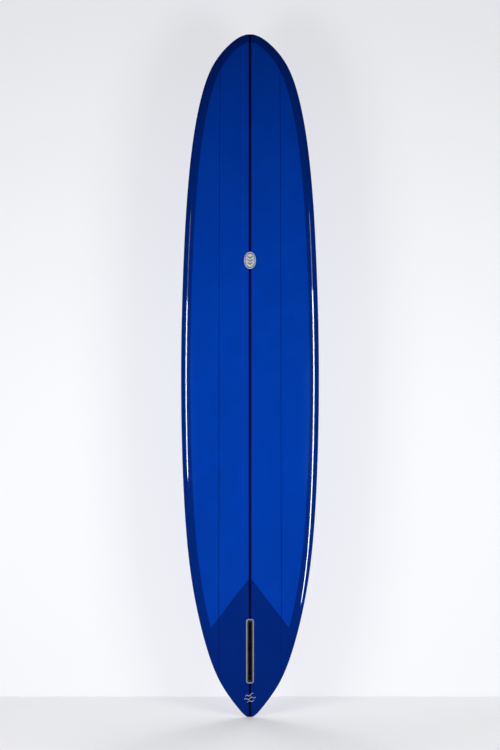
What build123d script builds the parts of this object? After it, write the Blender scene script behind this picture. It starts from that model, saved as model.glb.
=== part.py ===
from build123d import *
from math import acos, cos, hypot, pi
import os
import numpy as np

# A 9 ft 6 in single-fin longboard: a foam blank split by three stringers, glassed in two
# overlapping laminates, with a fin box and a leash plug set in resin.
# Frame: +Z runs from the tail tip to the nose tip, +Y points out of the deck, and +X is to the
# right of somebody who faces the bottom. The origin is under the middle of the bounding box.

# Plan shape, mm
LENGTH = 2895.6
HALF_WIDTH = 288
TIP = 6
OUTLINE = [
    (0, TIP), (50, 60), (150, 127), (300, 184), (600, 247), (1000, 279), (1450, HALF_WIDTH),
    (1900, 279), (2300, 255), (2600, 210), (2750, 160), (2850, 87), (LENGTH, TIP),
]  # (distance from the tail tip, half width)

# Side shape, mm: the bottom rises from the middle to both tips, and the foil thins out
NOSE_ROCKER, NOSE_ROCKER_POWER = 115, 3.0
TAIL_ROCKER, TAIL_ROCKER_POWER = 60, 2.2
THICKNESS = 76
NOSE_TIP, NOSE_FOIL_POWER = 14, 3.1
TAIL_TIP, TAIL_FOIL_POWER = 16, 3.5
HALF_DEPTH = (NOSE_ROCKER + NOSE_TIP) / 2

# Section shape: each half of a section is a superellipse, and the bottom is the flatter one
RAIL_LEVEL, RAIL_DROP = 0.42, 0.12
BOTTOM_ROUND, BOTTOM_FLAT = 2.2, 2.6
DECK_ROUND, DECK_FLAT = 2.1, 0.6
STATIONS = 37
POINTS = 17

# Glass, mm
GLASS = 0.85
SOLID_TIP = 12
LAP = 40
LAP_STATIONS = 40
PATCH_APEX, PATCH_FOOT, PATCH_FOOT_X = 575, 368, 160
EMBLEM_Z, EMBLEM_WIDTH, EMBLEM_HEIGHT = 1887, 49, 71

# Stringers, mm
CENTRE_STRINGER = 11.5
SIDE_STRINGER, SIDE_STRINGER_X = 3.2, 128.5

# Fin box, mm: a moulded channel in a bed of filled resin. Its own axes are X across, Y towards
# the nose and Z out of the bottom, from the middle of its face.
BOX_Z, BOX_LENGTH, BOX_WIDTH, BOX_DEPTH, BOX_CORNER = 271, 255, 21, 26, 5
BED_MARGIN, BED_FLOOR = 5.4, 2
SLOT_LENGTH, SLOT_WIDTH, SLOT_DEPTH = 238, 9.6, 23
TRACK_WIDTH, TRACK_LENGTH, TRACK_HEIGHT, TRACK_LEVEL = 15.8, 226, 3.6, 10
NOTCH_Y, NOTCH_WIDTH, NOTCH_LENGTH = 9, 15.4, 20

# Fin plate and its screw, mm, parked at the tail end of the track
PLATE_Y = -106
PLATE_WIDTH, PLATE_LENGTH, PLATE_THICK, PLATE_GAP = 15, 12, 2.8, 0.4
SCREW_RADIUS, SCREW_LENGTH, SCREW_PLAY = 2.1, 12, 0.05
HEAD_RADIUS, HEAD_HEIGHT, HEAD_GAP = 3.9, 2.4, 1.5
DRIVE_WIDTH, DRIVE_DEPTH = 1.1, 1.3

# Leash plug, mm, beside the centre stringer in the deck
PLUG_X, PLUG_Z, PLUG_RADIUS, PLUG_DEPTH, PLUG_BED = 25, 95, 14, 19, 1.5
CUP_RADIUS, CUP_DEPTH = 11, 17
BAR_RADIUS, BAR_LEVEL, BAR_SEAT = 1.6, 5, 1.5

BEYOND = 500  # longer than any cutting shape needs to be


def natural_spline(stations):
    """Cubic through (z, value) stations, in the angle that spaces z like a semicircle's shadow."""
    x = np.array([acos(1 - 2 * z / LENGTH) for z, _ in stations])
    y = np.array([value for _, value in stations], float)
    n = len(x)
    gap = np.diff(x)
    rows = np.eye(n)
    right = np.zeros(n)
    for i in range(1, n - 1):
        rows[i, i - 1 : i + 2] = gap[i - 1], 2 * (gap[i - 1] + gap[i]), gap[i]
        right[i] = 6 * ((y[i + 1] - y[i]) / gap[i] - (y[i] - y[i - 1]) / gap[i - 1])
    bend = np.linalg.solve(rows, right)

    def value(angle):
        i = min(max(int(np.searchsorted(x, angle)) - 1, 0), n - 2)
        a, b, h = angle - x[i], x[i + 1] - angle, gap[i]
        curve = (bend[i] * b**3 + bend[i + 1] * a**3) / (6 * h)
        return curve + (y[i] / h - bend[i] * h / 6) * b + (y[i + 1] / h - bend[i + 1] * h / 6) * a

    return value




def foil(z):
    """The bottom's height, the thickness and the rail's share of it at one station."""
    middle = LENGTH / 2
    if z > middle:
        u = (z - middle) / middle
        rise = NOSE_ROCKER * u**NOSE_ROCKER_POWER
        thick = NOSE_TIP + (THICKNESS - NOSE_TIP) * (1 - u**NOSE_FOIL_POWER)
        return rise - HALF_DEPTH, thick, RAIL_LEVEL
    u = (middle - z) / middle
    rise = TAIL_ROCKER * u**TAIL_ROCKER_POWER
    thick = TAIL_TIP + (THICKNESS - TAIL_TIP) * (1 - u**TAIL_FOIL_POWER)
    return rise - HALF_DEPTH, thick, RAIL_LEVEL - RAIL_DROP * u**2


def plan_point(angle, inset):
    """(z, half width) at an angle along the outline, moved inward by inset."""
    step = 1e-4
    low, high = max(angle - step, 0), min(angle + step, pi)
    dz = LENGTH / 2 * (cos(low) - cos(high))
    dw = half_width(high) - half_width(low)
    length = hypot(dz, dw)
    z = LENGTH / 2 * (1 - cos(angle)) + inset * dw / length
    return z, half_width(angle) - inset * dz / length


def board_section(angle, inset):
    """One closed cross-section: the bottom half, then the deck half, which meet at the rails."""
    z, w = plan_point(angle, inset)
    rise, thick, rail = foil(LENGTH / 2 * (1 - cos(angle)))
    level = rise + rail * thick
    share = w / HALF_WIDTH
    bottom = (-1, rail * thick - inset, BOTTOM_ROUND + BOTTOM_FLAT * share)
    deck = (1, (1 - rail) * thick - inset, DECK_ROUND + DECK_FLAT * share)
    turns = [i / (POINTS - 1) for i in range(POINTS)]
    edges = []
    for side, depth, power in (bottom, deck):
        points = []
        for turn in turns:
            across = cos(pi * turn)
            lift = depth * (1 - abs(across) ** power) ** 0.5
            points.append((side * w * across, level + side * lift, z))
        edges.append(Edge.make_spline(points, parameters=turns))
    return Wire(edges)


def board_shape(inset, start=0):
    """The board's outer shape, moved inward by inset all over, between two flat ends."""
    first = acos(1 - 2 * start / LENGTH)
    step = (pi - 2 * first) / (STATIONS - 1)
    sections = [board_section(first + step * i, inset) for i in range(STATIONS)]
    return Solid.make_loft(sections, ruled=True)


def rail_level(z):
    """The height of the widest point of the section, between the bottom and the deck."""
    rise, thick, rail = foil(z)
    return rise + rail * thick


def facing_out(x, z, side):
    """A plane that touches the bottom (side -1) or the deck (side 1) on the centre line."""
    def surface(at):
        rise, thick, _ = foil(at)
        return rise + thick * (side > 0)

    slope = (surface(z + 1) - surface(z - 1)) / 2
    return Plane(origin=(x, surface(z), z), x_dir=(1, 0, 0), z_dir=(0, side, -side * slope))


def plan_prism(face):
    """A plan shape, drawn with X across and Y towards the nose, taken through the board."""
    return extrude(Plane.XZ * face, amount=BEYOND, both=True)


def inside_laps():
    """Everything more than a lap's width inside the outline."""
    reach = [plan_point(pi * i / LAP_STATIONS, LAP) for i in range(LAP_STATIONS + 1)]
    right = [(w, z) for z, w in reach if w > 2 * TIP]
    left = [(-w, z) for w, z in right]
    return plan_prism(make_face(Polyline(left + [(0, LENGTH - LAP)] + right[::-1], close=True)))


def below_rails():
    """Everything on the bottom's side of the rails."""
    steps = [LENGTH * i / STATIONS for i in range(STATIONS + 1)]
    rails = [(rail_level(z), z) for z in steps]
    points = rails + [(-BEYOND, LENGTH), (-BEYOND, 0)]
    return extrude(Plane.YZ * make_face(Polyline(points, close=True)), amount=BEYOND, both=True)


def slab(low, high):
    """Everything between two distances across the board."""
    return Pos((low + high) / 2, 0, LENGTH / 2) * Box(high - low, BEYOND, LENGTH + BEYOND)


def patch_prism():
    """Everything on the tail's side of the patch's pointed front edge."""
    drop = (PATCH_APEX - PATCH_FOOT) / PATCH_FOOT_X
    corner = PATCH_APEX - drop * BEYOND
    tail = corner - LAP
    points = [(0, PATCH_APEX), (BEYOND, corner), (BEYOND, tail), (-BEYOND, tail), (-BEYOND, corner)]
    return plan_prism(make_face(Polyline(*points, close=True)))


def cut_down(plane, face, depth):
    """A pocket of a given outline that is open at the plane and goes down from it."""
    return extrude(plane * face, amount=-depth) + extrude(plane * face, amount=LAP)


def bed_pocket():
    """The routed pocket that the fin box is set in."""
    wide = BOX_WIDTH + 2 * BED_MARGIN
    long = BOX_LENGTH + 2 * BED_MARGIN
    outline = RectangleRounded(wide, long, BOX_CORNER + BED_MARGIN)
    return cut_down(BOX_PLANE, outline, BOX_DEPTH + BED_FLOOR)


def box_block():
    return extrude(BOX_PLANE * RectangleRounded(BOX_WIDTH, BOX_LENGTH, BOX_CORNER), amount=-BOX_DEPTH)


def fin_box():
    """The channel: a slot, a wider track inside it and a notch that lets the plate in."""
    along = Rot(0, 0, 90)
    slot = cut_down(BOX_PLANE, along * SlotOverall(SLOT_LENGTH, SLOT_WIDTH), SLOT_DEPTH)
    track = extrude(Rectangle(TRACK_WIDTH, TRACK_LENGTH), amount=-TRACK_HEIGHT)
    track = BOX_PLANE * Pos(0, 0, -TRACK_LEVEL) * track
    notch = Pos(0, NOTCH_Y) * Rectangle(NOTCH_WIDTH, NOTCH_LENGTH)
    notch = cut_down(BOX_PLANE, notch, TRACK_LEVEL + TRACK_HEIGHT / 2)
    return box_block() - slot - track - notch


def fin_plate():
    """The nut that slides in the track."""
    blank = extrude(fillet(Rectangle(PLATE_WIDTH, PLATE_LENGTH).vertices(), 1), amount=-PLATE_THICK)
    blank -= Cylinder(SCREW_RADIUS + SCREW_PLAY, 3 * PLATE_THICK)
    return BOX_PLANE * Pos(0, PLATE_Y, -TRACK_LEVEL - PLATE_GAP) * blank


def fin_screw():
    """The screw that draws a fin onto the plate, with a slotted pan head."""
    base = (Align.CENTER, Align.CENTER, Align.MIN)
    screw = Cylinder(HEAD_RADIUS, HEAD_HEIGHT, align=base)
    screw = fillet(screw.edges().group_by(Axis.Z)[-1], HEAD_HEIGHT / 3)
    drive = Pos(0, 0, HEAD_HEIGHT) * Box(3 * HEAD_RADIUS, DRIVE_WIDTH, 2 * DRIVE_DEPTH)
    shank = Pos(0, 0, -SCREW_LENGTH) * Cylinder(SCREW_RADIUS, SCREW_LENGTH, align=base)
    level = HEAD_GAP - TRACK_LEVEL - PLATE_GAP
    return BOX_PLANE * Pos(0, PLATE_Y, level) * (screw - drive + shank)


def round_plug(radius, depth):
    """A round pocket or plug that goes down from the deck at the leash plug."""
    return cut_down(PLUG_PLANE, Circle(radius), depth)


def leash_bar():
    bar = Rot(0, 90, 0) * Cylinder(BAR_RADIUS, 2 * (CUP_RADIUS + BAR_SEAT))
    return PLUG_PLANE * Pos(0, 0, -BAR_LEVEL) * bar


half_width = natural_spline(OUTLINE)
BOX_PLANE = facing_out(0, BOX_Z, -1)
PLUG_PLANE = facing_out(PLUG_X, PLUG_Z, 1)

outer = board_shape(0)
middle = board_shape(GLASS, SOLID_TIP)
blank = board_shape(2 * GLASS, SOLID_TIP)
outer_coat = outer - middle
inner_coat = middle - blank

laps = inside_laps()
below = below_rails()
bottom_field = laps & below
deck_field = laps - below
patch = patch_prism()
bed = bed_pocket()
plug_pocket = round_plug(PLUG_RADIUS + PLUG_BED, PLUG_DEPTH + PLUG_BED)
emblem_prism = plan_prism(Pos(0, EMBLEM_Z) * Ellipse(EMBLEM_WIDTH / 2, EMBLEM_HEIGHT / 2))

bottom_coat = outer_coat & bottom_field
filled = (bottom_coat - patch - emblem_prism) + (inner_coat - deck_field)

half_centre = CENTRE_STRINGER / 2
side_in = SIDE_STRINGER_X - SIDE_STRINGER / 2
side_out = SIDE_STRINGER_X + SIDE_STRINGER / 2
left_stringer = blank & slab(-side_out, -side_in)

nodes = {
    "foam_left_outer": blank & slab(-BEYOND, -side_out),
    "left_stringer": left_stringer,
    "foam_left_inner": (blank & slab(-side_in, -half_centre)) - bed,
    "centre_stringer": (blank & slab(-half_centre, half_centre)) - bed,
    "foam_right_inner": (blank & slab(half_centre, side_in)) - bed - plug_pocket,
    "right_stringer": mirror(left_stringer, about=Plane.YZ),
    "foam_right_outer": blank & slab(side_out, BEYOND),
    "bottom_laminate": filled - bed - plug_pocket,
    "deck_inner_laminate": (inner_coat & deck_field) - plug_pocket,
    "deck_outer_laminate": (outer_coat - bottom_field) - plug_pocket,
    "tail_patch": (bottom_coat & patch) - bed,
    "emblem": bottom_coat & emblem_prism,
    "fin_box_resin_bed": (bed & outer) - box_block(),
    "fin_box": fin_box(),
    "fin_plate": fin_plate(),
    "fin_screw": fin_screw(),
    "leash_plug_resin_bed": (plug_pocket & outer) - round_plug(PLUG_RADIUS, PLUG_DEPTH),
    "leash_plug_cup": (round_plug(PLUG_RADIUS, PLUG_DEPTH) & outer)
    - round_plug(CUP_RADIUS, CUP_DEPTH)
    - leash_bar(),
    "leash_plug_bar": leash_bar(),
}

os.makedirs("parts", exist_ok=True)
for name, shape in nodes.items():
    export_step(shape, f"parts/{name}.step")
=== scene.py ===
import bmesh
import bpy
import numpy as np
from math import acos, cos, hypot, pi, radians, sin, sqrt
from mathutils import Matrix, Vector


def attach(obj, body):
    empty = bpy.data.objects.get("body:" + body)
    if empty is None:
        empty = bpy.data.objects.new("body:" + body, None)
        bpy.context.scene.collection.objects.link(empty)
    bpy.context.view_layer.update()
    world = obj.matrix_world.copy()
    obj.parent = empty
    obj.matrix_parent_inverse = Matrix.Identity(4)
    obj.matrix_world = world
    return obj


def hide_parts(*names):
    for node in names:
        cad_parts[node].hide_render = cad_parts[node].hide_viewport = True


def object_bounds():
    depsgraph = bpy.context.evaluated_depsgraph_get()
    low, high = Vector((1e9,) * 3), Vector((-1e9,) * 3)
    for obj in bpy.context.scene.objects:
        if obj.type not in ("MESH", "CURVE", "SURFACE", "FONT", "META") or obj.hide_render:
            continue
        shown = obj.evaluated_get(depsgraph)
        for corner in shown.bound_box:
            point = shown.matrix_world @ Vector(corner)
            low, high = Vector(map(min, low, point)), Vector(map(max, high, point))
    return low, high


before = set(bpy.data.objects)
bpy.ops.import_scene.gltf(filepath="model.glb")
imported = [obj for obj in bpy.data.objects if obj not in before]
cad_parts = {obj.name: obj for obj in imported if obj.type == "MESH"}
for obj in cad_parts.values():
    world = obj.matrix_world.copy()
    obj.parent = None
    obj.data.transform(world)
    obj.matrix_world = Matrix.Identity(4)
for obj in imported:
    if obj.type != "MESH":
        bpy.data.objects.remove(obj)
cad_low, cad_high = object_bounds()
scene = bpy.context.scene

# The board's own frame: +Z from tail to nose, -Y out of the bottom, metres.
LENGTH = cad_high[2] - cad_low[2]
HALF_WIDTH = (cad_high[0] - cad_low[0]) / 2
TIP = 0.004
OUTLINE = [  # (distance from the tail tip, half width)
    (0, TIP), (0.05, 0.06), (0.15, 0.127), (0.3, 0.184), (0.6, 0.247), (1, 0.279), (1.45, HALF_WIDTH),
    (1.9, 0.279), (2.3, 0.255), (2.6, 0.21), (2.75, 0.16), (2.85, 0.087), (LENGTH, TIP),
]
NOSE_ROCKER, NOSE_ROCKER_POWER = 0.115, 3.0
TAIL_ROCKER, TAIL_ROCKER_POWER = 0.06, 2.2
THICKNESS = 0.076
NOSE_TIP, NOSE_FOIL_POWER = 0.014, 3.1
TAIL_TIP, TAIL_FOIL_POWER = 0.016, 3.5
HALF_DEPTH = (NOSE_ROCKER + NOSE_TIP) / 2
RAIL_LEVEL, RAIL_DROP = 0.42, 0.12
BOTTOM_ROUND, BOTTOM_FLAT = 2.2, 2.6
DECK_ROUND, DECK_FLAT = 2.1, 0.6

# The glass skins, and what shows through their tint
SKIN = 0.0008
WEAVE = 0.0014
LAP = 0.04
PATCH_APEX, PATCH_FOOT, PATCH_FOOT_X = 0.575, 0.368, 0.16
CENTRE_HALF = 0.00575  # half the centre stringer's width
SIDE_IN, SIDE_OUT = 0.1269, 0.1301  # the side stringers' faces, from the centre line

# How finely the skins are divided
ROWS = 220
FIELD_STEPS, BAND_STEPS = 18, 16
TIP_ROUND = 0.002
FIELD, BAND, DECK, PATCH = range(4)

# The fin box's and the leash plug's places in the skins
FIN_BOX_Z = 0.271
BED_WIDTH, BED_LENGTH, BED_CORNER, BED_REACH = 0.0318, 0.2658, 0.0104, 0.006
PLUG_X, PLUG_Z, PLUG_BED_RADIUS, PLUG_REACH = 0.025, 0.095, 0.0155, 0.004
PLASTIC_EDGE, STEEL_EDGE = 0.0003, 0.0002

# The prints on the bottom
BADGE_Z = 1.887
BADGE_HALF_WIDTH, BADGE_HALF_HEIGHT = 0.0245, 0.0355
BADGE_LIFT, BADGE_THICKNESS, BADGE_STEPS = 0.0002, 0.00018, 72
RING_BAND = 5  # the navy ring, counted from the badge's middle
BADGE_RINGS = [0.14, 0.28, 0.42, 0.56, 0.68, 0.78, 0.9, 1.0]  # shares of the badge's size
BADGE_WAVE_GAP, BADGE_WAVE_HEIGHT, BADGE_WAVE_TURNS = 0.36 * BADGE_HALF_HEIGHT, 0.003, 1.5
BADGE_STROKE, STROKE_LIFT = 0.0042, 0.00008
MARK_Z, MARK_STROKE, MARK_WAVE_HEIGHT, MARK_SLANT = 0.072, 0.0022, 0.0035, 0.012
MARK_WAVES = [  # (shift up, from x, to x, turns)
    (0.013, -0.019, 0.014, 1.5), (0, -0.0245, 0.0245, 2), (-0.012, -0.011, 0.017, 1),
]

# Linear colours of the tinted glass: plain, over the centre stringer and over a side stringer
FIELD_TINTS = (0.0006, 0.04, 0.36), (0.0012, 0.003, 0.05), (0.0006, 0.018, 0.18)
LAP_TINTS = (0.001, 0.019, 0.18), (0.001, 0.003, 0.04), (0.001, 0.011, 0.11)

# The studio, in metres and watts
FLOOR_HALF, WALL_BACK, WALL_TOP = 7.0, 0.42, 7.0
EYE, AIM, LENS_MM = (0, -4.95, 1.062), (0, 0, 1.4113), 56.7
FILL_PLACE, FILL_SIZE, FILL_POWER = (1.45, -2.15, 1.26), (1.0, 1.0), 38.5
BACK_FILL_PLACE, BACK_FILL_AIM, BACK_FILL_SIZE, BACK_FILL_POWER = (2.0, 2.9, 1.7), (0, 0, 1.3), (1.2, 1.2), 48
COOL_WHITE = (0.84, 0.92, 1.0)
SOFTBOXES = [  # (name, x, y, lower end, upper end, width, radiance)
    ("right_softbox", 1.91, -1.91, -0.35, 2.2, 0.2, 34),
    ("right_upper_softbox", 1.91, -1.91, 2.2, 2.9, 0.12, 5),
    ("left_softbox", -1.91, -1.91, 0.79, 2.12, 0.17, 32),
    ("left_upper_softbox", -1.91, -1.91, 2.12, 2.9, 0.1, 4),
    ("deck_softbox_right", 1.9, 2.3, 0.4, 2.6, 0.35, 4.5),
    ("deck_softbox_left", -2.2, 2.2, 0.2, 2.2, 0.3, 4),
]


def natural_spline(stations):
    """Cubic through (z, value) stations, in the angle that spaces z like a semicircle's shadow."""
    x = np.array([acos(1 - 2 * z / LENGTH) for z, _ in stations])
    y = np.array([value for _, value in stations], float)
    n = len(x)
    gap = np.diff(x)
    rows = np.eye(n)
    right = np.zeros(n)
    for i in range(1, n - 1):
        rows[i, i - 1 : i + 2] = gap[i - 1], 2 * (gap[i - 1] + gap[i]), gap[i]
        right[i] = 6 * ((y[i + 1] - y[i]) / gap[i] - (y[i] - y[i - 1]) / gap[i - 1])
    bend = np.linalg.solve(rows, right)

    def value(angle):
        i = min(max(int(np.searchsorted(x, angle)) - 1, 0), n - 2)
        a, b, h = angle - x[i], x[i + 1] - angle, gap[i]
        curve = (bend[i] * b**3 + bend[i + 1] * a**3) / (6 * h)
        return curve + (y[i] / h - bend[i] * h / 6) * b + (y[i + 1] / h - bend[i + 1] * h / 6) * a

    return value


width_at_angle = natural_spline(OUTLINE)


def angle_at(z):
    return acos(max(-1, min(1, 1 - 2 * z / LENGTH)))


def half_width(z):
    return width_at_angle(angle_at(z))


def foil(z):
    """The bottom's height, the thickness and the rail's share of it at one station."""
    middle = LENGTH / 2
    if z > middle:
        u = (z - middle) / middle
        rise = NOSE_ROCKER * u**NOSE_ROCKER_POWER
        thick = NOSE_TIP + (THICKNESS - NOSE_TIP) * (1 - u**NOSE_FOIL_POWER)
        return rise - HALF_DEPTH, thick, RAIL_LEVEL
    u = (middle - z) / middle
    rise = TAIL_ROCKER * u**TAIL_ROCKER_POWER
    thick = TAIL_TIP + (THICKNESS - TAIL_TIP) * (1 - u**TAIL_FOIL_POWER)
    return rise - HALF_DEPTH, thick, RAIL_LEVEL - RAIL_DROP * u**2


def surface(x, z, side):
    """The point on the bottom (side -1) or the deck (side 1) at x across and z along."""
    rise, thick, rail = foil(z)
    w = half_width(z)
    share = w / HALF_WIDTH
    if side < 0:
        depth, power = rail * thick, BOTTOM_ROUND + BOTTOM_FLAT * share
    else:
        depth, power = (1 - rail) * thick, DECK_ROUND + DECK_FLAT * share
    lift = depth * sqrt(max(0, 1 - min(1, abs(x) / w) ** power))
    return Vector((x, rise + rail * thick + side * lift, z))


def lap_curve():
    """(z, half width) of the line one lap's width inside the outline, from tail to nose."""
    z, w = [], []
    step = 1e-4
    for angle in np.linspace(step, pi - step, 4000):
        dz = LENGTH / 2 * (cos(angle - step) - cos(angle + step))
        dw = width_at_angle(angle + step) - width_at_angle(angle - step)
        size = hypot(dz, dw)
        across = width_at_angle(angle) - LAP * dz / size
        if across > 0:
            z.append(LENGTH / 2 * (1 - cos(angle)) + LAP * dw / size)
            w.append(across)
    return np.array(z), np.array(w)


lap_z, lap_w = lap_curve()
lap_low, lap_high = lap_z[0], lap_z[-1]


def lap_at(z):
    if z <= lap_low or z >= lap_high:
        return 0.0
    return float(np.interp(z, lap_z, lap_w))


# ---------------------------------------------------------------- meshes


def new_object(name, mesh):
    obj = bpy.data.objects.new(name, mesh)
    scene.collection.objects.link(obj)
    return obj


def mesh_object(name, bm):
    mesh = bpy.data.meshes.new(name)
    bm.to_mesh(mesh)
    bm.free()
    for polygon in mesh.polygons:
        polygon.use_smooth = True
    return new_object(name, mesh)


def bake_modifiers(obj):
    """Turns an object's modifiers into its mesh."""
    graph = bpy.context.evaluated_depsgraph_get()
    mesh = bpy.data.meshes.new_from_object(obj.evaluated_get(graph))
    obj.modifiers.clear()
    obj.data = mesh


def station_rows():
    """Distances along the board, close together at the tips and at the laps' points."""
    first = angle_at(TIP_ROUND)
    rows = [LENGTH / 2 * (1 - cos(a)) for a in np.linspace(first, pi - first, ROWS)]
    for point, way in ((lap_low, 1), (lap_high, -1)):
        rows += [point + way * 0.0003 * k * k for k in range(6)]
    rows += [PATCH_APEX, PATCH_FOOT]
    rows = sorted(rows)
    kept = [rows[0]]
    for z in rows[1:]:
        if z - kept[-1] > 0.00025:
            kept.append(z)
    return kept


def section_ring(z):
    """One ring of points round the board, and the region that starts at each of them."""
    w, lap = half_width(z), lap_at(z)
    turn = acos(min(1, lap / w))
    field = [lap * (i / FIELD_STEPS - 1) for i in range(2 * FIELD_STEPS)]
    outward = [w * cos(turn * (1 - i / BAND_STEPS)) for i in range(BAND_STEPS)]
    inward = [w * cos(turn * i / BAND_STEPS) for i in range(BAND_STEPS)]
    ring = [(x, -1, FIELD) for x in field]
    ring += [(x, -1, BAND) for x in outward] + [(x, 1, BAND) for x in inward]
    ring += [(-x, 1, DECK) for x in field]
    ring += [(-x, 1, BAND) for x in outward] + [(-x, -1, BAND) for x in inward]
    return [surface(x, z, side) for x, side, _ in ring], [region for _, _, region in ring]


def tip_rings(z, way):
    """Two shrinking rings and a closing point that round off a tip."""
    points, regions = section_ring(z)
    centre = sum(points, Vector()) / len(points)
    rings = []
    for turn in (pi / 6, pi / 3):
        shift = Vector((0, 0, way * TIP_ROUND * sin(turn)))
        rings.append([centre + (p - centre) * cos(turn) + shift for p in points])
    return rings, centre + Vector((0, 0, way * TIP_ROUND)), regions


def board_surface():
    """The whole outer surface, with each face's region in a layer."""
    bm = bmesh.new()
    layer = bm.faces.layers.int.new("region")
    rows = station_rows()
    rings = [section_ring(z) for z in rows]
    low_rings, low_point, low_regions = tip_rings(rows[0], -1)
    high_rings, high_point, high_regions = tip_rings(rows[-1], 1)
    stack = [(ring, low_regions) for ring in low_rings[::-1]] + rings
    stack += [(ring, high_regions) for ring in high_rings]
    loops = [([bm.verts.new(p) for p in points], regions) for points, regions in stack]
    count = len(loops[0][0])
    for (lower, regions), (upper, _) in zip(loops, loops[1:]):
        for i in range(count):
            j = (i + 1) % count
            face = bm.faces.new((lower[i], lower[j], upper[j], upper[i]))
            face[layer] = regions[i]
    for point, (loop, regions), way in ((low_point, loops[0], 0), (high_point, loops[-1], 1)):
        tip = bm.verts.new(point)
        for i in range(count):
            pair = (loop[i], loop[(i + 1) % count])
            face = bm.faces.new((tip, *(pair if way else pair[::-1])))
            face[layer] = BAND
    for face in bm.faces:
        z = face.calc_center_median().z
        if z < lap_low or z > lap_high:
            face[layer] = BAND
    bmesh.ops.remove_doubles(bm, verts=bm.verts, dist=2e-5)
    bmesh.ops.recalc_face_normals(bm, faces=bm.faces)
    return bm, layer


def split(bm, faces, point, normal):
    """Cuts new edges into some faces along a plane."""
    parts = set(faces)
    for face in faces:
        parts.update(face.edges)
        parts.update(face.verts)
    bmesh.ops.bisect_plane(bm, geom=list(parts), dist=1e-6, plane_co=point, plane_no=normal)


def patch_edge(x):
    """How far along the board the patch's front edge lies at x across."""
    return PATCH_APEX - (PATCH_APEX - PATCH_FOOT) / PATCH_FOOT_X * abs(x)


def stringer_slot(x):
    if abs(x) < CENTRE_HALF:
        return 1
    return 2 if SIDE_IN < abs(x) < SIDE_OUT else 0


def board_skins():
    """The three glass skins that can be seen, cut from one surface so that their edges meet."""
    bm, layer = board_surface()
    for x in (CENTRE_HALF, SIDE_IN, SIDE_OUT):
        for side in (-1, 1):
            split(bm, bm.faces[:], (side * x, 0, 0), (1, 0, 0))
    drop = (PATCH_APEX - PATCH_FOOT) / PATCH_FOOT_X
    for side in (-1, 1):
        near = [f for f in bm.faces if f[layer] == FIELD and side * f.calc_center_median().x > -0.001]
        split(bm, near, (0, 0, PATCH_APEX), (side * drop, 0, 1))
    for face in bm.faces:
        centre = face.calc_center_median()
        if face[layer] == FIELD and centre.z < patch_edge(centre.x):
            face[layer] = PATCH
        face.material_index = stringer_slot(centre.x) + (3 if face[layer] == DECK else 0)
    skins = {}
    for name, regions in (
        ("bottom_glass", (FIELD,)),
        ("tail_patch_glass", (PATCH,)),
        ("deck_and_rail_glass", (BAND, DECK)),
    ):
        part = bm.copy()
        part_layer = part.faces.layers.int["region"]
        spare = [f for f in part.faces if f[part_layer] not in regions]
        bmesh.ops.delete(part, geom=spare, context="FACES")
        bmesh.ops.dissolve_degenerate(part, dist=1e-6, edges=part.edges)
        skins[name] = mesh_object(name, part)
    bm.free()
    return skins


def thicken(obj, thickness):
    """A closed shell that goes inward from a surface."""
    solid = obj.modifiers.new("shell", "SOLIDIFY")
    solid.thickness, solid.offset = thickness, -1
    solid.use_even_offset = False
    bake_modifiers(obj)


def cut(obj, cutter):
    """Takes one mesh out of another."""
    hole = obj.modifiers.new("hole", "BOOLEAN")
    hole.operation, hole.solver, hole.object = "DIFFERENCE", "EXACT", cutter
    bake_modifiers(obj)
    bpy.data.objects.remove(cutter)


def tangent_frame(x, z, side):
    """A point on the surface, the direction along the board there and the one out of it."""
    here = surface(x, z, side)
    along = (surface(x, z + 0.001, side) - surface(x, z - 0.001, side)).normalized()
    return here, along, Vector((0, side * along.z, -side * along.y))


def prism(name, outline, place, reach):
    """A solid with an outline in the plane of a tangent frame, reaching both ways from it."""
    origin, along, out = place
    bm = bmesh.new()
    ends = [
        [bm.verts.new(origin + Vector((u, 0, 0)) + along * v + out * w) for u, v in outline]
        for w in (-reach, reach)
    ]
    count = len(outline)
    bm.faces.new(ends[0])
    bm.faces.new(ends[1])
    for i in range(count):
        j = (i + 1) % count
        bm.faces.new((ends[0][i], ends[0][j], ends[1][j], ends[1][i]))
    bmesh.ops.recalc_face_normals(bm, faces=bm.faces)
    return mesh_object(name, bm)


def rounded_rectangle(width, length, corner, steps=8):
    points = []
    for quarter, (across, along) in enumerate(((1, 1), (-1, 1), (-1, -1), (1, -1))):
        for i in range(steps + 1):
            turn = pi / 2 * (quarter + i / steps)
            x = across * (width / 2 - corner) + corner * cos(turn)
            points.append((x, along * (length / 2 - corner) + corner * sin(turn)))
    return points


def circle(radius, steps=72):
    return [(radius * cos(2 * pi * i / steps), radius * sin(2 * pi * i / steps)) for i in range(steps)]


# ---------------------------------------------------------------- prints


def proud(x, z, lift):
    """A point that stands a little off the bottom."""
    return surface(x, z, -1) - Vector((0, lift, 0))


def add_ribbon(bm, points, width, lift, index=0):
    """A flat stroke on the bottom along (x, z) points, with pointed ends."""
    pairs = []
    last = len(points) - 1
    for i, (x, z) in enumerate(points):
        x0, z0 = points[max(i - 1, 0)]
        x1, z1 = points[min(i + 1, last)]
        size = hypot(x1 - x0, z1 - z0)
        half = width / 2 * (0.2 + 0.8 * sqrt(sin(pi * (i + 0.5) / (last + 1))))
        dx, dz = -(z1 - z0) / size * half, (x1 - x0) / size * half
        pairs.append([bm.verts.new(proud(x + s * dx, z + s * dz, lift)) for s in (1, -1)])
    for (a, b), (c, d) in zip(pairs, pairs[1:]):
        face = bm.faces.new((a, b, d, c))
        face.material_index = index


def face_outward(bm):
    """Turns the faces of a print away from the board."""
    bm.normal_update()
    for face in bm.faces:
        if face.normal.y > 0:
            face.normal_flip()


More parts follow.
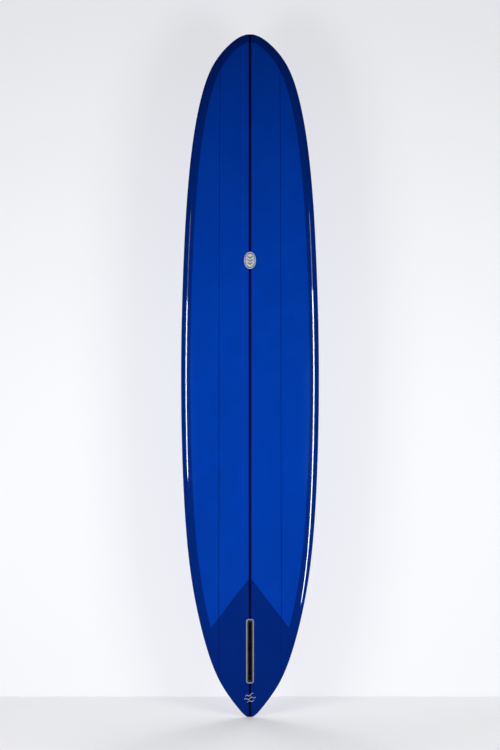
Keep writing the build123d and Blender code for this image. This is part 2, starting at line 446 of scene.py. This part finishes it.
def wave_line(x0, x1, z, height, turns, slope=0.0, steps=40):
    """(x, z) points of a wave between two places across the board."""
    points = []
    for i in range(steps + 1):
        share = i / steps
        lift = height * sin(2 * pi * turns * share) + slope * share
        points.append((x0 + (x1 - x0) * share, z + lift))
    return points


def emblem_badge():
    """An oval badge with a thin ring and plain waves."""
    bm = bmesh.new()
    rings = []
    for share in BADGE_RINGS:
        ring = []
        for i in range(BADGE_STEPS):
            turn = 2 * pi * i / BADGE_STEPS
            x = BADGE_HALF_WIDTH * share * cos(turn)
            z = BADGE_Z + BADGE_HALF_HEIGHT * share * sin(turn)
            ring.append(bm.verts.new(proud(x, z, BADGE_LIFT)))
        rings.append(ring)
    middle = bm.verts.new(proud(0, BADGE_Z, BADGE_LIFT))
    for i in range(BADGE_STEPS):
        j = (i + 1) % BADGE_STEPS
        bm.faces.new((middle, rings[0][i], rings[0][j]))
        for k, (inner, outer) in enumerate(zip(rings, rings[1:])):
            face = bm.faces.new((inner[i], outer[i], outer[j], inner[j]))
            face.material_index = 1 if k == RING_BAND else 0
    for k in (-1, 0, 1):
        reach = BADGE_HALF_WIDTH * (0.62 - 0.12 * k * k)
        height = BADGE_Z + k * BADGE_WAVE_GAP
        wave = wave_line(-reach, reach, height, BADGE_WAVE_HEIGHT, BADGE_WAVE_TURNS)
        add_ribbon(bm, wave, BADGE_STROKE, BADGE_LIFT + STROKE_LIFT, 1)
    face_outward(bm)
    return mesh_object("emblem_badge", bm)


def wave_mark():
    """Three pale strokes near the tail tip."""
    bm = bmesh.new()
    for shift, x0, x1, turns in MARK_WAVES:
        wave = wave_line(x0, x1, MARK_Z + shift, MARK_WAVE_HEIGHT, turns, MARK_SLANT)
        add_ribbon(bm, wave, MARK_STROKE, BADGE_LIFT)
    face_outward(bm)
    return mesh_object("wave_mark", bm)


# ---------------------------------------------------------------- materials


class Finish:
    """A Principled material and the nodes that vary it, in metres of the object's own space."""

    def __init__(self, name, colour, roughness, **sockets):
        self.material = bpy.data.materials.new(name)
        self.material.use_nodes = True
        self.tree = self.material.node_tree
        self.shader = self.tree.nodes["Principled BSDF"]
        self.place = self.node("ShaderNodeTexCoord").outputs["Object"]
        self.shader.inputs["Base Color"].default_value = (*colour, 1)
        self.shader.inputs["Roughness"].default_value = roughness
        for socket, value in sockets.items():
            self.shader.inputs[socket.replace("_", " ")].default_value = value
        self.material.diffuse_color = (*colour, 1)

    def node(self, kind, **settings):
        node = self.tree.nodes.new(kind)
        for key, value in settings.items():
            setattr(node, key, value)
        return node

    def join(self, out, into):
        self.tree.links.new(out, into)

    def noise(self, scale, detail=3.0, stretch=(1, 1, 1)):
        """A noise from 0 to 1, stretched along an axis by a small factor there."""
        mapping = self.node("ShaderNodeMapping")
        mapping.inputs["Scale"].default_value = stretch
        self.join(self.place, mapping.inputs["Vector"])
        noise = self.node("ShaderNodeTexNoise")
        noise.inputs["Scale"].default_value = scale
        noise.inputs["Detail"].default_value = detail
        self.join(mapping.outputs["Vector"], noise.inputs["Vector"])
        return noise.outputs["Fac"]

    def bands(self, direction, pitch, distortion=0.0):
        """Soft bands across X, Y or Z at a pitch in metres."""
        wave = self.node("ShaderNodeTexWave", wave_type="BANDS", bands_direction=direction)
        wave.inputs["Scale"].default_value = 2 * pi / 20 / pitch
        wave.inputs["Distortion"].default_value = distortion
        self.join(self.place, wave.inputs["Vector"])
        return wave.outputs["Fac"]

    def multiply(self, a, b):
        node = self.node("ShaderNodeMath", operation="MULTIPLY")
        self.join(a, node.inputs[0])
        self.join(b, node.inputs[1])
        return node.outputs[0]

    def ranged(self, value, low, high, start=0.3, end=0.7):
        """A value spread from low to high."""
        node = self.node("ShaderNodeMapRange")
        for socket, number in (("From Min", start), ("From Max", end), ("To Min", low), ("To Max", high)):
            node.inputs[socket].default_value = number
        self.join(value, node.inputs["Value"])
        return node.outputs["Result"]

    def tint(self, value, other, start=0.3, end=0.7):
        """Blends what the colour is so far towards another colour where value is high."""
        mix = self.node("ShaderNodeMix", data_type="RGBA")
        base = self.shader.inputs["Base Color"]
        sockets = [s for s in mix.inputs if s.type == "RGBA"]
        if base.is_linked:
            self.join(base.links[0].from_socket, sockets[0])
        else:
            sockets[0].default_value = base.default_value
        sockets[1].default_value = (*other, 1)
        self.join(self.ranged(value, 0, 1, start, end), mix.inputs[0])
        out = [s for s in mix.outputs if s.type == "RGBA"][0]
        self.join(out, base)

    def roughen(self, value, low, high):
        self.join(self.ranged(value, low, high), self.shader.inputs["Roughness"])

    def bump(self, value, depth, strength=1.0):
        """Adds relief of a depth in metres."""
        bump = self.node("ShaderNodeBump")
        bump.inputs["Distance"].default_value = depth
        bump.inputs["Strength"].default_value = strength
        self.join(value, bump.inputs["Height"])
        normal = self.shader.inputs["Normal"]
        if normal.is_linked:
            self.join(normal.links[0].from_socket, bump.inputs["Normal"])
        self.join(bump.outputs["Normal"], normal)


def scaled(colour, factor):
    return tuple(c * factor for c in colour)


def tinted_glass(name, colour):
    """Polished tinted resin over woven cloth: clouds in the tint, the weave, faint ripples and rub marks."""
    finish = Finish(name, colour, 0.05, IOR=1.5, Coat_Weight=0.25, Coat_Roughness=0.03)
    finish.tint(finish.noise(3.2, 4, (1.6, 1, 0.5)), scaled(colour, 0.86), 0.4, 0.75)
    finish.tint(finish.noise(11, 5), scaled(colour, 1.1), 0.52, 0.85)
    weave = finish.multiply(finish.bands("X", WEAVE), finish.bands("Z", WEAVE))
    finish.tint(weave, scaled(colour, 0.9), 0.2, 1.6)
    finish.roughen(finish.noise(35, 6, (1, 1, 0.12)), 0.035, 0.1)
    finish.bump(finish.noise(6, 2, (1, 1, 0.4)), 0.0006, 0.35)
    finish.bump(weave, 0.00001, 0.3)
    return finish.material


def foam():
    finish = Finish("board_foam", (0.72, 0.7, 0.64), 0.85)
    finish.tint(finish.noise(60, 5), (0.6, 0.57, 0.48))
    finish.bump(finish.noise(900, 3), 0.0002, 0.5)
    return finish.material


def stringer_wood():
    finish = Finish("stringer_wood", (0.33, 0.2, 0.1), 0.6)
    finish.tint(finish.noise(90, 6, (1, 1, 0.05)), (0.2, 0.11, 0.05))
    finish.tint(finish.bands("Y", 0.006, 3.0), (0.4, 0.26, 0.14), 0.3, 1.4)
    finish.bump(finish.noise(300, 4, (1, 1, 0.06)), 0.0001, 0.5)
    return finish.material


def filled_resin():
    """Pale thickened resin, sanded flush and polished, with fine specks in it."""
    finish = Finish("filled_resin", (0.26, 0.27, 0.3), 0.2, Coat_Weight=0.2, Coat_Roughness=0.08)
    finish.tint(finish.noise(140, 4), (0.19, 0.2, 0.24))
    finish.tint(finish.noise(1400, 2), (0.42, 0.43, 0.45), 0.62, 0.7)
    finish.roughen(finish.noise(220, 4), 0.14, 0.32)
    finish.bump(finish.noise(500, 3), 0.00004, 0.5)
    return finish.material


def moulded_plastic():
    finish = Finish("black_moulded_plastic", (0.012, 0.012, 0.013), 0.4)
    finish.tint(finish.noise(70, 5), (0.02, 0.02, 0.022))
    finish.roughen(finish.noise(160, 5), 0.3, 0.52)
    finish.bump(finish.noise(2200, 2), 0.00003, 0.6)
    return finish.material


def brushed_steel():
    finish = Finish("brushed_steel", (0.56, 0.56, 0.57), 0.28, Metallic=1.0)
    finish.tint(finish.noise(50, 4), (0.44, 0.44, 0.45))
    lines = finish.noise(2600, 3, (1, 1, 0.04))
    finish.roughen(lines, 0.2, 0.42)
    finish.bump(lines, 0.00001, 0.5)
    return finish.material


def badge_print():
    """Off-white ink under gloss, a little patchy as screen print is."""
    finish = Finish("badge_print", (0.6, 0.6, 0.56), 0.22, Coat_Weight=0.3, Coat_Roughness=0.05)
    finish.tint(finish.noise(120, 5), (0.44, 0.45, 0.44))
    finish.tint(finish.noise(700, 3), (0.7, 0.7, 0.67), 0.5, 0.8)
    finish.bump(finish.noise(1500, 3), 0.00002, 0.5)
    return finish.material


def badge_line():
    finish = Finish("badge_line", (0.03, 0.05, 0.12), 0.25, Coat_Weight=0.3, Coat_Roughness=0.05)
    finish.tint(finish.noise(300, 4), (0.06, 0.09, 0.17))
    finish.bump(finish.noise(1500, 3), 0.00002, 0.4)
    return finish.material


def matte(name, colour, glow, patch):
    """A pale studio surface."""
    finish = Finish(name, colour, 0.95, Specular_IOR_Level=0.0)
    finish.tint(finish.noise(0.9, 3), scaled(colour, patch))
    finish.shader.inputs["Emission Color"].default_value = (*colour, 1)
    finish.shader.inputs["Emission Strength"].default_value = glow
    return finish


# ---------------------------------------------------------------- stage


def stage_sheet(name, corners, finish):
    """One flat studio surface."""
    bm = bmesh.new()
    bm.faces.new([bm.verts.new(corner) for corner in corners])
    obj = mesh_object(name, bm)
    obj.data.materials.append(finish.material)
    obj.visible_glossy = False
    return obj


def see_through_from_behind(finish):
    output = finish.tree.nodes["Material Output"]
    mix = finish.node("ShaderNodeMixShader")
    clear = finish.node("ShaderNodeBsdfTransparent")
    finish.join(finish.node("ShaderNodeNewGeometry").outputs["Backfacing"], mix.inputs[0])
    finish.join(finish.shader.outputs["BSDF"], mix.inputs[1])
    finish.join(clear.outputs["BSDF"], mix.inputs[2])
    finish.join(mix.outputs["Shader"], output.inputs["Surface"])


def studio():
    """A pale floor, a pale wall behind the deck and a pale surround that lights nothing."""
    half, back, top = FLOOR_HALF, WALL_BACK, WALL_TOP
    stage_sheet(
        "floor",
        [(-half, -half, 0), (half, -half, 0), (half, half, 0), (-half, half, 0)],
        matte("floor_paint", (0.62, 0.62, 0.63), 0.34, 0.96),
    )
    wall_paint = matte("wall_paint", (0.35, 0.353, 0.362), 1.76, 0.98)
    see_through_from_behind(wall_paint)
    wall = stage_sheet(
        "wall",
        [(-half, back, 0), (half, back, 0), (half, back, top), (-half, back, top)],
        wall_paint,
    )
    wall.visible_shadow = False
    world = bpy.data.worlds.new("surround")
    world.use_nodes = True
    background = world.node_tree.nodes["Background"]
    background.inputs["Color"].default_value = (0.8, 0.81, 0.83, 1)
    scene.world = world
    for ray in ("diffuse", "glossy", "transmission", "scatter"):
        setattr(world.cycles_visibility, ray, False)


def area_light(name, place, aim, size, energy, diffuse=True, glossy=True):
    data = bpy.data.lights.new(name, "AREA")
    data.shape = "RECTANGLE"
    data.size, data.size_y = size
    data.energy = energy
    light = bpy.data.objects.new(name, data)
    scene.collection.objects.link(light)
    light.location = place
    light.rotation_euler = (Vector(aim) - Vector(place)).to_track_quat("-Z", "Y").to_euler()
    light.visible_camera = False
    light.visible_diffuse = diffuse
    light.visible_glossy = glossy
    return light


def softbox(name, x, y, low, high, width, radiance):
    """A tall soft light that shows only as a highlight."""
    height = high - low
    middle = (low + high) / 2
    power = radiance * pi * width * height
    light = area_light(name, (x, y, middle), (0, 0, middle), (width, height), power, diffuse=False)
    light.data.color = COOL_WHITE


def lights():
    """Soft fill from both sides of the camera and of the deck, and strips for the gloss."""
    for side in (-1, 1):
        x, y, z = FILL_PLACE
        area_light("fill", (x * side, y, z), (0, 0, z), FILL_SIZE, FILL_POWER, glossy=False)
        x, y, z = BACK_FILL_PLACE
        place = (x * side, y, z)
        area_light("back_fill", place, BACK_FILL_AIM, BACK_FILL_SIZE, BACK_FILL_POWER, glossy=False)
    for box in SOFTBOXES:
        softbox(*box)


def camera():
    data = bpy.data.cameras.new("camera")
    data.sensor_width = 36
    data.lens = LENS_MM
    eye = bpy.data.objects.new("camera", data)
    scene.collection.objects.link(eye)
    eye.location = EYE
    eye.rotation_euler = (Vector(AIM) - Vector(EYE)).to_track_quat("-Z", "Y").to_euler()
    scene.camera = eye


# ---------------------------------------------------------------- build


def dress(obj, *materials):
    """Gives an object its materials, in the order of its faces' numbers."""
    while len(obj.data.materials) > len(materials):
        obj.data.materials.pop()
    for i, material in enumerate(materials):
        if i < len(obj.data.materials):
            obj.data.materials[i] = material
        else:
            obj.data.materials.append(material)


def hand_over(obj, slot, *nodes):
    """Puts a finished piece on the board in place of its CAD nodes."""
    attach(obj, "board")
    if nodes:
        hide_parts(*nodes)


def crisp(obj, angle=35):
    """Shades an object smooth except across its real edges."""
    for polygon in obj.data.polygons:
        polygon.use_smooth = True
    obj.data.set_sharp_from_angle(angle=radians(angle))


def glass_skins():
    """The skins as closed shells, with the fin box's and the leash plug's holes in them."""
    ends = ("", "_over_centre_stringer", "_over_side_stringers")
    field = [tinted_glass("tinted_glass" + end, tint) for end, tint in zip(ends, FIELD_TINTS)]
    lap = [tinted_glass("tinted_glass_lap" + end, tint) for end, tint in zip(ends, LAP_TINTS)]
    skins = board_skins()
    bottom, patch, deck = skins["bottom_glass"], skins["tail_patch_glass"], skins["deck_and_rail_glass"]
    dress(bottom, *field)
    dress(patch, *lap)
    dress(deck, *lap, *field)
    for skin in skins.values():
        thicken(skin, SKIN)
    bed = rounded_rectangle(BED_WIDTH, BED_LENGTH, BED_CORNER)
    cut(patch, prism("bed_hole", bed, tangent_frame(0, FIN_BOX_Z, -1), BED_REACH))
    plug = circle(PLUG_BED_RADIUS)
    cut(deck, prism("plug_hole", plug, tangent_frame(PLUG_X, PLUG_Z, 1), PLUG_REACH))
    for skin in skins.values():
        crisp(skin)
    hand_over(bottom, "tinted_glass", "bottom_laminate")
    hand_over(patch, "tinted_glass_lap", "tail_patch")
    hand_over(deck, "tinted_glass_lap", "deck_outer_laminate")


def prints():
    ink, line = badge_print(), badge_line()
    badge = emblem_badge()
    dress(badge, ink, line)
    thicken(badge, BADGE_THICKNESS)
    crisp(badge)
    hand_over(badge, "emblem_print", "emblem")
    mark = wave_mark()
    dress(mark, ink)
    thicken(mark, BADGE_THICKNESS)
    crisp(mark)
    hand_over(mark, "emblem_print")


def ease_edges(obj, width):
    """Catches light along a moulded or machined part's edges."""
    bevel = obj.modifiers.new("eased_edges", "BEVEL")
    bevel.width, bevel.segments = width, 3
    bevel.limit_method, bevel.angle_limit = "ANGLE", radians(40)
    bevel.harden_normals = True


def fittings():
    """The CAD parts that stay, in their own materials."""
    white, wood, resin = foam(), stringer_wood(), filled_resin()
    plastic, steel = moulded_plastic(), brushed_steel()
    inner = tinted_glass("tinted_glass_inner_layer", FIELD_TINTS[0])
    for name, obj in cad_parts.items():
        if name.startswith("foam"):
            dress(obj, white)
        elif name.endswith("stringer"):
            dress(obj, wood)
        elif name.endswith("resin_bed"):
            dress(obj, resin)
        elif name in ("fin_box", "leash_plug_cup"):
            dress(obj, plastic)
            ease_edges(obj, PLASTIC_EDGE)
        elif name in ("fin_plate", "fin_screw", "leash_plug_bar"):
            dress(obj, steel)
            ease_edges(obj, STEEL_EDGE)
        elif name == "deck_inner_laminate":
            dress(obj, inner)


glass_skins()
prints()
fittings()
studio()
lights()
camera()
scene.view_settings.view_transform = "Standard"
